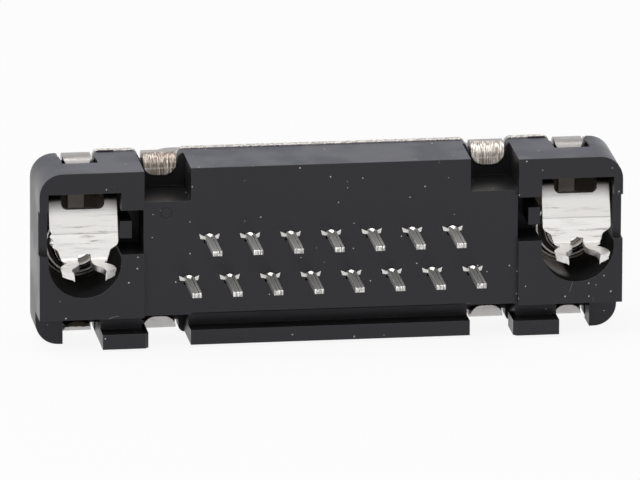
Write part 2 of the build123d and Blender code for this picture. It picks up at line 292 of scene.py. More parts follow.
    def _crevices(self) -> bpy.types.NodeTree:
        """How far a place lies open to its surroundings: zero deep inside, one outside."""
        desk, given, result = self._open(
            "crevices",
            [("Closed", "NodeSocketFloat", 0.12), ("Clear", "NodeSocketFloat", 0.6)],
            [("Open", "NodeSocketFloat")],
        )
        seen = desk.add("ShaderNodeAmbientOcclusion", {"Distance": CREVICE_REACH}, samples=8)
        desk.feed(result["Open"], desk.remap(seen.outputs["AO"], given["Closed"], given["Clear"]))
        return desk.tree

    def _screw(self) -> bpy.types.NodeTree:
        """Distance from the nearer jack screw's axis, and how far a place lies low and left of it."""
        desk, given, result = self._open(
            "screw_distance",
            [("Vector", "NodeSocketVector", None)],
            [("Radius", "NodeSocketFloat"), ("Low Left", "NodeSocketFloat")],
        )
        across, _, height = desk.split(given["Vector"])
        across = desk.math("SUBTRACT", across, desk.product(desk.math("SIGN", across), SCREW_X))
        left, low = desk.product(across, LOW_LEFT[0]), desk.product(height, LOW_LEFT[1])
        desk.feed(result["Low Left"], desk.math("ADD", left, low))
        square = desk.math("ADD", desk.math("POWER", across, 2.0), desk.math("POWER", height, 2.0))
        desk.feed(result["Radius"], desk.math("SQRT", square))
        return desk.tree


class Shade:
    """One material under work: its tree, its coordinates and its main shader."""

    def __init__(self, name: str, effects: Effects) -> None:
        """Start an empty material with a Principled shader."""
        self.material = bpy.data.materials.new(name)
        self.material.use_nodes = True
        self.desk = Desk(self.material.node_tree)
        self.effects = effects
        self.surface = self.material.node_tree.nodes["Principled BSDF"]
        self.place = self.desk.add("ShaderNodeTexCoord").outputs["Object"]

    def faces_up(self) -> Socket:
        """One on faces that look up, zero on upright ones and below."""
        normal = self.desk.add("ShaderNodeNewGeometry").outputs["Normal"]
        return self.desk.remap(self.desk.split(normal)[2], 0.2, 0.9)

    def waved(self, value: Any, scale: float, reach: float) -> Socket:
        """A length that wanders with noise, by half the reach at most."""
        swing = self.desk.math("SUBTRACT", self.desk.noise(self.place, scale, 2.0), 0.5)
        return self.desk.math("ADD", value, self.desk.product(swing, reach))

    def group(self, tree: bpy.types.NodeTree, **inputs: Any) -> Any:
        """Place a shared effect and return its outputs."""
        node = self.desk.add("ShaderNodeGroup", node_tree=tree)
        for name, value in inputs.items():
            self.desk.feed(node.inputs[name], value)
        return node.outputs

    def set(self, **values: Any) -> None:
        """Set or link sockets of the shader; an underscore in a name stands for a space."""
        for name, value in values.items():
            self.desk.feed(self.surface.inputs[name.replace("_", " ")], value)

    def bump(self, height: Any, depth: float, normal: Any = None, strength: float = 1.0) -> Socket:
        """Normal that a height gives over another normal."""
        inputs = {"Height": height, "Distance": depth, "Strength": strength}
        if normal is not None:
            inputs["Normal"] = normal
        return self.desk.add("ShaderNodeBump", inputs).outputs["Normal"]


@dataclass(frozen=True)
class MouldedPlastic:
    """Black moulding: satin outside, with some dust, and painted shade in its pockets and cavities.

    Its top faces carry a painted bluish tint for their reflection, and the right cavity's wall a
    painted reflection of the flange: a light crescent, low on its left.
    """

    name: str = "black_moulding"
    colour: Colour = (0.0104, 0.0101, 0.011)
    # Painted light: a darker, bluish tint on the top faces, in place of their reflection.
    painted_top: Colour = (0.006, 0.008, 0.025)
    # Painted shade for pockets and crevices.
    pocket_shade: Colour = (0.004, 0.004, 0.004)
    # Painted shade: near black inside the cavities round the jack screws.
    cavity_shade: Colour = (0.0025, 0.0025, 0.0025)
    # Painted reflection of the flange, a light crescent on the right cavity's wall.
    crescent_reflection: Colour = (0.62, 0.58, 0.54)
    dust: Colour = (0.5, 0.49, 0.47)
    tint: Colour = (0.93, 0.92, 1.0)
    satin: Span = (0.29, 0.37)
    specular: float = 0.42
    top_specular: float = 0.265
    pocket_specular: float = 0.15
    cavity_specular: float = 0.01
    glow_specular: float = 1.0
    top_height: float = 4.3 * MM
    cavity_reach: float = 2.47 * MM
    cavity_mouth: float = -5.88 * MM
    # Where the painted reflection of the flange lies on the right cavity's wall.
    glow_reach: Span = (1.9 * MM, 2.35 * MM)
    glow_depth: Span = (-5.2 * MM, -3.6 * MM)
    hair_share: float = 0.25
    edge_wear: float = 0.1
    grain_depth: float = 0.004 * MM

    def build(self, effects: Effects) -> bpy.types.Material:
        """Make the material."""
        shade = Shade(self.name, effects)
        desk = shade.desk
        grain = shade.group(effects.grain, Vector=shade.place, Fine=14000.0, Slow=260.0)
        hairs = shade.group(
            effects.strokes, Vector=shade.place,
            Stretch=(1.0, 0.6, 0.45), Scale=420.0, Width=0.005, Share=0.3,
        )
        specks = shade.group(effects.specks, Vector=shade.place, Scale=1900.0, Size=0.095, Share=0.28)
        edges = shade.group(effects.edges, Worn=0.5)
        clear = shade.group(effects.crevices)["Open"]
        screw = shade.group(effects.screw, Vector=shade.place)
        across, depth, height = desk.split(shade.place)

        cavity = desk.product(
            desk.below(screw["Radius"], self.cavity_reach),
            desk.over(depth, self.cavity_mouth),
        )
        # Mask of the painted reflection of the flange, low on the left of the right cavity's wall.
        glow = desk.product(
            desk.remap(screw["Low Left"], *self.glow_reach),
            desk.remap(depth, *self.glow_depth),
            desk.over(across, 0.0),
        )
        painted_top = desk.product(shade.faces_up(), desk.over(height, self.top_height))
        dirt = desk.math("MAXIMUM", specks["Mask"], desk.product(hairs["Scratch"], self.hair_share))

        # Painted reflection: the top faces get a bluish tint.
        colour = desk.blend(painted_top, self.colour, self.painted_top)
        # Painted shade: darker where ambient occlusion finds the place closed in.
        colour = desk.blend(clear, self.pocket_shade, colour)
        colour = desk.blend(desk.product(edges["Edge"], self.edge_wear), colour, self.dust)
        colour = desk.blend(desk.product(dirt, clear), colour, self.dust)
        # Painted shade inside the screw cavities, with the painted crescent of the flange's reflection.
        colour = desk.blend(cavity, colour, desk.blend(glow, self.cavity_shade, self.crescent_reflection))
        shine = desk.fade(painted_top, self.specular, self.top_specular)
        shine = desk.fade(clear, self.pocket_specular, shine)
        wall_shine = desk.fade(glow, self.cavity_specular, self.glow_specular)
        shade.set(
            Base_Color=colour,
            Roughness=desk.fade(grain["Cloud"], *self.satin),
            Specular_IOR_Level=desk.fade(cavity, shine, wall_shine),
            Specular_Tint=self.tint,
            Normal=shade.bump(grain["Height"], self.grain_depth, edges["Normal"], 0.5),
        )
        return shade.material


@dataclass(frozen=True)
class PlatedSteel:
    """Tin plated drawing steel: a darker grey painted on faces that look up, galled folds on the large tabs,
    torn edges.

    Behind the cavities the flange carries a painted shadow, and painted shade darkens the left low tab's top.
    """

    name: str = "plated_shell"
    colour: Colour = (0.46, 0.445, 0.435)
    # Painted light: faces that look up get a darker grey than the same plating elsewhere.
    painted_top: Colour = (0.345, 0.33, 0.32)
    # Painted shadow on the flange behind the cavities: darkest low down, lighter higher up.
    painted_shadow: Colour = (0.012, 0.011, 0.01)
    dim: Colour = (0.07, 0.06, 0.05)
    galled: Colour = (0.2, 0.15, 0.115)
    tan: Colour = (0.42, 0.37, 0.32)
    bright: Colour = (0.92, 0.88, 0.82)
    # Painted shade on the left low tab's top.
    tab_shade: Colour = (0.022, 0.019, 0.015)
    polish: Span = (0.26, 0.42)
    rim_height: float = 6.22 * MM
    rim_depth: float = -0.47 * MM
    rim_relief: float = 3.0
    fold_x: float = 11.12 * MM
    fold_reach: float = 1.3 * MM
    fold_low: float = 4.0 * MM
    fold_depth: float = -1.15 * MM
    fold_relief: float = 6.0
    groove: Span = (0.34, 0.5)
    ridge: Span = (0.5, 0.66)
    # How much brighter the right tab's fold comes out than the left.
    right_brightening: float = 0.045
    band_height: float = 5.3 * MM
    band_half: float = 0.05 * MM
    band_share: float = 0.35
    fringe_height: float = 5.32 * MM
    fringe_half: float = 0.13 * MM
    fringe_reach: float = 1.1 * MM
    # Where the painted shade on the left low tab's top starts, how far it reaches and how its edge wanders.
    tab_shade_height: Span = (-5.58 * MM, -5.53 * MM)
    tab_shade_reach: float = 1.2 * MM
    tab_shade_wave: float = 0.25 * MM
    flange_rear: float = -0.45 * MM
    flange_skin: float = 0.02 * MM
    cavity_reach: float = 2.6 * MM
    dim_height: Span = (0.5 * MM, 2.0 * MM)
    ring_inner: float = 2.26 * MM
    ring_outer: float = 2.4 * MM
    relief_depth: float = 0.012 * MM

    def _galled_fold(self, desk: Desk, streaks: Any, across: Any, height: Any) -> Socket:
        """Colour of a large tab's fold: brown grooves, bright ridges and one bright band.

        Args:
            desk: The material's desk.
            streaks: Value of the streaks that run down the fold.
            across: X of the place; the right tab comes out brighter.
            height: Z of the place.

        Returns:
            The colour's socket.
        """
        streak_level = desk.math("ADD", streaks, desk.product(desk.math("SIGN", across), self.right_brightening))
        colour = desk.blend(desk.remap(streak_level, *self.groove), self.galled, self.tan)
        colour = desk.blend(desk.remap(streak_level, *self.ridge), colour, self.bright)
        band = desk.within(height, self.band_height, self.band_half)
        return desk.blend(desk.product(band, self.band_share), colour, self.bright)

    def build(self, effects: Effects) -> bpy.types.Material:
        """Make the material."""
        shade = Shade(self.name, effects)
        desk = shade.desk
        grain = shade.group(effects.grain, Vector=shade.place, Fine=9000.0, Slow=900.0)
        lines = shade.group(
            effects.strokes, Vector=shade.place,
            Stretch=(1.0, 0.12, 0.12), Scale=5200.0, Width=0.04, Share=0.55,
        )
        streaks = shade.group(
            effects.strokes, Vector=shade.place,
            Stretch=(1.0, 0.3, 0.1), Scale=11500.0, Width=0.05, Share=0.5,
        )
        edges = shade.group(effects.edges, Worn=0.6)
        radius = shade.group(effects.screw, Vector=shade.place)["Radius"]
        across, depth, height = desk.split(shade.place)
        side = desk.math("ABSOLUTE", across)

        torn = desk.remap(desk.noise(shade.place, 5200.0, 3.0, 0.7), 0.4, 0.6)
        rim = desk.over(desk.math("ABSOLUTE", height), self.rim_height)
        torn_rim = desk.product(rim, desk.over(depth, self.rim_depth), torn)
        bent = desk.below(depth, self.fold_depth)
        fold = desk.product(
            desk.within(side, self.fold_x, self.fold_reach),
            desk.over(height, self.fold_low),
            bent,
        )
        fringe = desk.product(
            desk.within(side, SCREW_X, self.fringe_reach),
            desk.within(height, self.fringe_height, self.fringe_half),
            bent,
            torn,
        )
        # Mask of the painted shade on the left low tab's top.
        tab_shaded = desk.product(
            desk.remap(shade.waved(height, 1500.0, self.tab_shade_wave), *self.tab_shade_height),
            desk.below(height, 0.0),
            desk.within(across, -SCREW_X, self.tab_shade_reach),
            bent,
        )
        # The flange's rear face behind the cavities, where a painted shadow falls.
        behind = desk.product(
            desk.within(side, SCREW_X, self.cavity_reach),
            desk.within(depth, self.flange_rear, self.flange_skin),
        )
        ring = desk.product(
            behind,
            desk.over(radius, self.ring_inner),
            desk.below(radius, self.ring_outer),
            desk.below(height, 0.0),
        )

        # Painted light: a darker grey on faces that look up.
        colour = desk.blend(shade.faces_up(), self.colour, self.painted_top)
        colour = desk.blend(fold, colour, self._galled_fold(desk, streaks["Lines"], across, height))
        colour = desk.blend(torn_rim, colour, self.bright)
        # Painted shadow on the flange behind the cavities.
        shadow = desk.blend(desk.remap(height, *self.dim_height), self.painted_shadow, self.dim)
        colour = desk.blend(behind, colour, shadow)
        # Painted shade on the left low tab's top.
        colour = desk.blend(tab_shaded, colour, self.tab_shade)
        colour = desk.blend(fringe, colour, self.bright)
        colour = desk.blend(ring, colour, self.tan)
        relief = desk.math("ADD", lines["Lines"], desk.product(torn_rim, self.rim_relief))
        relief = desk.math("ADD", relief, desk.product(fold, streaks["Lines"], self.fold_relief))
        shade.set(
            Base_Color=colour,
            Metallic=1.0,
            Roughness=desk.fade(grain["Cloud"], *self.polish),
            Normal=shade.bump(relief, self.relief_depth, edges["Normal"], 0.6),
        )
        return shade.material


@dataclass(frozen=True)
class ContactMetal:
    """Copper alloy contact: tin plated at the tail, gold flashed at the mating pin.

    The tail carries lines along its length, each with its middle, its half width and
    whether it is light, and a painted highlight on the tilted facet where its crest runs out.
    """

    name: str = "contact_metal"
    tin: Colour = (0.72, 0.71, 0.69)
    gold: Colour = (0.86, 0.63, 0.26)
    bright: Colour = (0.97, 0.96, 0.94)
    dark: Colour = (0.2, 0.19, 0.18)
    torn: Colour = (0.36, 0.35, 0.33)
    roughness: float = 0.46
    gold_depth: Span = (-1.4 * MM, -1.0 * MM)
    tail_end: float = -9.8 * MM
    pitch: float = 2.74 * MM
    row: float = 1.42 * MM
    crest_end: float = -6.2 * MM
    crest_start: float = -5.5 * MM
    crest_slope: float = 0.29
    crest_rise: float = 0.1 * MM
    crest_facing: Triple = (0.0, -0.75, 0.66)
    line_depth: float = 0.006 * MM
    lines: tuple[tuple[float, float, bool], ...] = (
        (-0.28 * MM, 0.035 * MM, True),
        (0.05 * MM, 0.02 * MM, True),
        (0.12 * MM, 0.03 * MM, False),
        (0.19 * MM, 0.02 * MM, True),
    )

    def _off_middle(self, desk: Desk, across: Any, height: Any) -> Socket:
        """Distance along X from the middle of the contact, in either row."""
        shifted = desk.math("ADD", across, desk.product(desk.below(height, 0.0), self.pitch / 2))
        limits = {0: shifted, 1: self.pitch / 2, 2: -self.pitch / 2}
        return desk.add("ShaderNodeMath", limits, operation="WRAP").outputs[0]

    def _crest(self, desk: Desk, off_middle: Any, depth: Any, height: Any) -> Socket:
        """One on the pointed facet where the tail's crest runs out."""
        rise = desk.math("SUBTRACT", desk.math("ABSOLUTE", height), self.row)
        rise = desk.product(rise, desk.math("SIGN", height))
        half = desk.product(desk.math("SUBTRACT", depth, self.crest_end), self.crest_slope)
        return desk.product(
            desk.within(off_middle, 0.0, half),
            desk.below(depth, self.crest_start),
            desk.over(rise, self.crest_rise),
        )

    def build(self, effects: Effects) -> bpy.types.Material:
        """Make the material."""
        shade = Shade(self.name, effects)
        desk = shade.desk
        drawn = shade.group(
            effects.strokes, Vector=shade.place,
            Stretch=(1.0, 0.04, 0.3), Scale=5200.0, Width=0.05, Share=0.5,
        )
        sheared = shade.group(
            effects.strokes, Vector=shade.place,
            Stretch=(1.0, 1.0, 0.3), Scale=7000.0, Width=0.05, Share=0.5,
        )
        edges = shade.group(effects.edges, Worn=0.4)
        across, depth, height = desk.split(shade.place)
        off_middle = self._off_middle(desk, across, height)
        crest = self._crest(desk, off_middle, depth, height)
        cut = desk.product(desk.below(depth, self.tail_end), desk.remap(sheared["Lines"], 0.55, 0.42))

        colour = self.tin
        broken = desk.remap(desk.noise(shade.place, 2600.0, 1.0), 0.32, 0.5)
        for middle, half, light in self.lines:
            line = desk.product(desk.within(off_middle, middle, half), broken)
            colour = desk.blend(line, colour, self.bright if light else self.dark)
        # Painted highlight on the crest's facet, whose shading normal is also tilted below.
        colour = desk.blend(crest, colour, self.bright)
        colour = desk.blend(desk.remap(depth, *self.gold_depth), colour, self.gold)
        facet = desk.add("ShaderNodeMix", {"Factor": crest}, data_type="VECTOR")
        desk.feed(facet.inputs[4], shade.bump(drawn["Lines"], self.line_depth, edges["Normal"], 0.4))
        desk.feed(facet.inputs[5], self.crest_facing)
        shade.set(
            Base_Color=desk.blend(cut, colour, self.torn),
            Metallic=1.0,
            Roughness=self.roughness,
            Normal=facet.outputs[1],
        )
        return shade.material


@dataclass(frozen=True)
class TinnedStrap:
    """Bright tin plated strap with rolling lines along X, a crease, deeper scratches, and painted light and
    shade.
    """

    name: str = "lock_metal"
    colour: Colour = (0.74, 0.725, 0.705)
    # Painted reflection of the floor: the lower part is lighter.
    low: Colour = (0.82, 0.805, 0.785)
    scratch: Colour = (0.36, 0.345, 0.33)
    # Painted shade on the front part, growing with height.
    painted_shadow: Colour = (0.36, 0.33, 0.3)
    # Painted shade: near black on the eye and on the top of the rear part, under the housing.
    deep_shade: Colour = (0.03, 0.027, 0.024)
    polish: Span = (0.3, 0.42)
    eye_ring: float = 1.95 * MM
    eye_height: float = 1.6 * MM
    crease: float = 1.86 * MM
    crease_half: float = 0.045 * MM
    crease_wave: float = 0.14 * MM
    # Heights over which the painted lighter low part, the painted shade on the front part and the deep
    # painted shade fade in.
    low_height: Span = (2.06 * MM, 1.56 * MM)
    painted_shadow_height: Span = (1.0 * MM, 3.0 * MM)
    deep_shade_height: Span = (2.9 * MM, 4.3 * MM)
    front_depth: float = -3.2 * MM
    rolled_share: float = 0.35
    gouged_share: float = 0.8
    relief_depth: float = 0.008 * MM

    def build(self, effects: Effects) -> bpy.types.Material:
        """Make the material."""
        shade = Shade(self.name, effects)
        desk = shade.desk
        lines = shade.group(
            effects.strokes, Vector=shade.place,
            Stretch=(0.09, 1.0, 1.0), Scale=4300.0, Width=0.02, Share=0.6,
        )["Lines"]
        grain = shade.group(effects.grain, Vector=shade.place, Fine=9000.0, Slow=700.0)
        edges = shade.group(effects.edges, Worn=0.4)
        radius = shade.group(effects.screw, Vector=shade.place)["Radius"]
        _, depth, height = desk.split(shade.place)
        rear = desk.below(depth, self.front_depth)
        front = desk.over(depth, self.front_depth)

        waved = shade.waved(height, 500.0, self.crease_wave)
        offset = desk.math("ABSOLUTE", desk.math("SUBTRACT", waved, self.crease))
        folded = desk.math("SUBTRACT", 1.0, desk.math("DIVIDE", offset, self.crease_half), clamp=True)
        folded = desk.product(folded, desk.remap(desk.noise(shade.place, 900.0, 1.0), 0.3, 0.55))
        patches = desk.remap(desk.noise(shade.place, 700.0, 1.0), 0.45, 0.6)
        gouged = desk.product(desk.remap(lines, 0.595, 0.64), patches)
        rolled = desk.product(desk.remap(lines, 0.5, 0.7), self.rolled_share)
        marks = desk.math("MAXIMUM", folded, rolled)
        marks = desk.math("MAXIMUM", desk.product(gouged, self.gouged_share), marks)

        # Painted reflection of the floor: lighter below the crease.
        colour = desk.blend(desk.remap(height, *self.low_height), self.colour, self.low)
        colour = desk.blend(desk.product(marks, rear), colour, self.scratch)
        # Painted shade on the front part.
        colour = desk.blend(desk.product(front, desk.remap(height, *self.painted_shadow_height)), colour, self.painted_shadow)
        # Painted shade on the eye, deep in the cavity, and on the rear part's top under the housing.
        eye = desk.product(desk.below(radius, self.eye_ring), desk.below(height, self.eye_height), front)
        colour = desk.blend(eye, colour, self.deep_shade)
        colour = desk.blend(desk.product(desk.remap(height, *self.deep_shade_height), rear), colour, self.deep_shade)
        relief = desk.math("SUBTRACT", lines, desk.math("ADD", gouged, folded))
        shade.set(
            Base_Color=colour,
            Metallic=1.0,
            Roughness=desk.fade(grain["Cloud"], *self.polish),
            Normal=shade.bump(relief, self.relief_depth, edges["Normal"], 0.5),
        )
        return shade.material


@dataclass(frozen=True)
class TurnedNickel:
    """Nickel plated turned metal: dull and paler in the bore, shaded on the rim's rear face."""

    name: str = "insert_metal"
    colour: Colour = (0.66, 0.61, 0.56)
    shaded: Colour = (0.02, 0.018, 0.016)
    bore: Colour = (0.95, 0.9, 0.85)
    polish: Span = (0.22, 0.34)
    bore_radius: float = 1.38 * MM
    bore_metal: float = 0.35
    bore_rough: float = 0.6
    rim_rear: float = -1.38 * MM
    rim_outer: float = 1.52 * MM
    grain_depth: float = 0.004 * MM

    def build(self, effects: Effects) -> bpy.types.Material:
        """Make the material."""
        shade = Shade(self.name, effects)
        desk = shade.desk
        grain = shade.group(effects.grain, Vector=shade.place, Fine=12000.0, Slow=1400.0)
        edges = shade.group(effects.edges, Worn=0.5)
        radius = shade.group(effects.screw, Vector=shade.place)["Radius"]
        _, depth, _ = desk.split(shade.place)
        bore = desk.below(radius, self.bore_radius)
        rim = desk.product(
            desk.below(depth, self.rim_rear),
            desk.over(radius, self.bore_radius),
            desk.below(radius, self.rim_outer),
        )
        colour = desk.blend(bore, self.colour, self.bore)
        shade.set(
            Base_Color=desk.blend(rim, colour, self.shaded),
            Metallic=desk.fade(bore, 1.0, self.bore_metal),
            Roughness=desk.fade(bore, desk.fade(grain["Cloud"], *self.polish), self.bore_rough),
            Normal=shade.bump(grain["Height"], self.grain_depth, edges["Normal"], 0.5),
        )
        return shade.material


def dress(piece: bpy.types.Object, material: bpy.types.Material) -> None:
    """Give a piece or a node one material on all its faces."""
    piece.data.materials.clear()
    piece.data.materials.append(material)


@dataclass
class Housing:
    """The black moulded insulator."""

    node: str = "housing"

    def build(self, finish: bpy.types.Material) -> None:
        """Dress the housing's node."""
        dress(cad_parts[self.node], finish)
        LOG.info("dressed %s", self.node)


@dataclass
class Shell:
    """The drawn steel shell with its folded tabs."""

    node: str = "shell"

    def build(self, finish: bpy.types.Material) -> None:
        """Dress the shell's node."""
        dress(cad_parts[self.node], finish)
        LOG.info("dressed %s", self.node)


@dataclass
class ContactField:
    """All contacts, in two rows."""

    stem: str = "contact_"

    def build(self, finish: bpy.types.Material) -> None:
        """Dress every contact's node."""
        names = sorted(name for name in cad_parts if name.startswith(self.stem))
        for name in names:
            dress(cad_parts[name], finish)
        LOG.info("dressed %d contacts", len(names))


def smooth(value: float, start: float, end: float) -> float:
    """Smooth step from 0 at the start to 1 at the end, whichever is greater."""
    share = min(max((value - start) / (end - start), 0.0), 1.0)
    return share * share * (3.0 - 2.0 * share)


def show(name: str, data: Any) -> bpy.types.Object:
    """Put a new object with this data, or a new lamp or camera, into the scene."""
    piece = bpy.data.objects.new(name, data)
    bpy.context.scene.collection.objects.link(piece)
    return piece


def settle(piece: bpy.types.Object, node: str) -> None:
    """Let a new piece ride on the connector's body, in place of a node."""
    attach(piece, BODY)
    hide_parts(node)


@dataclass
class BoardLock:
    """One folded strap: its node's form, with the lower plate and the fork leaning outwards.

    Places are counted from the strap's own middle plane. The neck is widened where it
    leaves the plate, the legs are cut straight and thickened downwards at their tips,
    and the left lock's outer edge is torn.
    """

    side: Side
    stem: str = "board_lock"
    mesh_size: float = 0.2 * MM
    mesh_rounds: int = 4
    rear_part: float = -4.1 * MM
    lean: float = 0.75 * MM
    lean_top: float = 1.85 * MM
    lean_end: float = 0.25 * MM
    fork_drop: float = 0.1 * MM
    drop_top: float = 1.3 * MM
    drop_end: float = 0.35 * MM
    neck_growth: float = 0.26 * MM
    neck_inner: float = 0.6 * MM
    neck_side: float = 1.45 * MM
    neck_low: float = -0.1 * MM
    neck_high: float = 0.75 * MM
    shoulder: float = 1.1 * MM
    cut_place: Span = (1.77 * MM, -7.36 * MM)
    cut_facing: Span = (0.726, -0.688)
    tip_growth: float = 0.12 * MM
    tip_start: float = -6.9 * MM
    tip_end: float = -7.9 * MM
    tip_top: float = 0.25 * MM
    tip_low: float = -0.15 * MM
    edge: float = -2.3 * MM
    tear_depth: float = 0.45 * MM
    tear_reach: float = 0.5 * MM
    tear_top: float = 2.6 * MM
    tear_grain: float = 3800.0
    tear_bias: float = 0.25
    weld: float = 0.0005 * MM
    sharp_angle: float = 32.0

    def _moved(self, place: Vector) -> Vector:
        """Where a point of the strap's rear part goes."""
        side = math.copysign(1.0, place.x)
        reach = abs(place.x)
        low = smooth(place.z, self.drop_top, self.drop_end)
        lean = min(max((self.lean_top - place.z) / (self.lean_top - self.lean_end), 0.0), 1.0)
        neck = smooth(place.z, self.neck_low, self.neck_high) * smooth(place.z, self.shoulder, self.neck_high)
        neck *= smooth(reach, self.neck_inner, self.neck_side)
        tip = smooth(place.y, self.tip_start, self.tip_end) * smooth(place.z, self.tip_top, self.tip_low)
        fall = low * self.fork_drop + tip * self.tip_growth
        moved = place + Vector((side * neck * self.neck_growth, -lean * self.lean, -fall))
        if self.side is Side.LEFT:
            torn = smooth(place.x, self.edge + self.tear_reach, self.edge)
            torn *= smooth(place.z, self.tear_top, self.shoulder)
            bite = max(noise.noise(place * self.tear_grain) + self.tear_bias, 0.0)
            moved.x += torn * self.tear_depth * bite
        return moved

    def _cut_legs(self, work: bmesh.types.BMesh, middle: Vector) -> None:
        """Cut both legs off straight, and close the cuts."""
        for side in Side:
            parts = [*work.verts, *work.edges, *work.faces]
            place = middle + Vector((side.value * self.cut_place[0], self.cut_place[1], 0.0))
            facing = Vector((side.value * self.cut_facing[0], self.cut_facing[1], 0.0))
            cut = bmesh.ops.bisect_plane(work, geom=parts, plane_co=place, plane_no=facing, clear_outer=True)
            rim = [part for part in cut["geom_cut"] if isinstance(part, bmesh.types.BMEdge)]
            bmesh.ops.contextual_create(work, geom=rim)

    def _shape(self, mesh: bpy.types.Mesh, middle: Vector) -> None:
        """Refine the rear part of a copied mesh and move its points."""
        work = bmesh.new()
        work.from_mesh(mesh)
        bmesh.ops.remove_doubles(work, verts=work.verts, dist=self.weld)
        for _ in range(self.mesh_rounds):
            behind = [edge for edge in work.edges if min(end.co.y for end in edge.verts) < self.rear_part]
            long = [edge for edge in behind if edge.calc_length() > self.mesh_size]
            bmesh.ops.subdivide_edges(work, edges=long, cuts=1)
        self._cut_legs(work, middle)
        bmesh.ops.triangulate(work, faces=work.faces)
        for point in work.verts:
            if point.co.y < self.rear_part:
                point.co = self._moved(point.co - middle) + middle
        work.to_mesh(mesh)
        work.free()
        mesh.shade_smooth()
        mesh.set_sharp_from_angle(angle=math.radians(self.sharp_angle))

    def build(self, finish: bpy.types.Material) -> None:
        """Make the strap in place of its node."""
        node = self.side.node(self.stem)
        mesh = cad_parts[node].data.copy()
        if "custom_normal" in mesh.attributes:
            mesh.attributes.remove(mesh.attributes["custom_normal"])
        self._shape(mesh, Vector((self.side.value * SCREW_X, 0.0, 0.0)))
        piece = show(self.side.node("lock_strap"), mesh)
        dress(piece, finish)
        settle(piece, node)
        LOG.info("made %s with %d faces", piece.name, len(mesh.polygons))


def screw_thread(finish: bpy.types.Material) -> bpy.types.NodeTree:
    """Group that joins a helical ridge, three cornered in section, to a turned body.

    Args:
        finish: The material of the body and the ridge.

    Returns:
        The Geometry Nodes tree, with the ridge's turns, radius, length, size and place as inputs.
    """
    tree = bpy.data.node_groups.new("screw_thread", "GeometryNodeTree")
    for title, kind in (
        ("Geometry", "NodeSocketGeometry"),
        ("Turns", "NodeSocketFloat"),
        ("Radius", "NodeSocketFloat"),
        ("Length", "NodeSocketFloat"),
        ("Ridge", "NodeSocketFloat"),
        ("Place", "NodeSocketVector"),
    ):
        tree.interface.new_socket(title, in_out="INPUT", socket_type=kind)
    tree.interface.new_socket("Geometry", in_out="OUTPUT", socket_type="NodeSocketGeometry")
    desk = Desk(tree)
    given = desk.add("NodeGroupInput").outputs
    spiral = desk.add(
        "GeometryNodeCurveSpiral",
        {
            "Resolution": 48,
            "Rotations": given["Turns"],
            "Start Radius": given["Radius"],
            "End Radius": given["Radius"],
            "Height": given["Length"],
        },
    )
    section = desk.add("GeometryNodeCurvePrimitiveCircle", {"Resolution": 3, "Radius": given["Ridge"]})
    ridge = desk.add(
        "GeometryNodeCurveToMesh",
        {"Curve": spiral.outputs[0], "Profile Curve": section.outputs[0], "Fill Caps": True},
    )
    laid = desk.add(
        "GeometryNodeTransform",
        {
            "Geometry": ridge.outputs[0],
            "Translation": given["Place"],
            "Rotation": (math.radians(-90.0), 0.0, 0.0),
        },
    )
    joined = desk.add("GeometryNodeJoinGeometry", {0: laid.outputs[0]})
    desk.feed(joined.inputs[0], given["Geometry"])
    realized = desk.add("GeometryNodeRealizeInstances", {0: joined.outputs[0]})
    dressed = desk.add("GeometryNodeSetMaterial", {"Geometry": realized.outputs[0], "Material": finish})
    desk.feed(desk.add("NodeGroupOutput").inputs[0], dressed.outputs[0])
    return tree


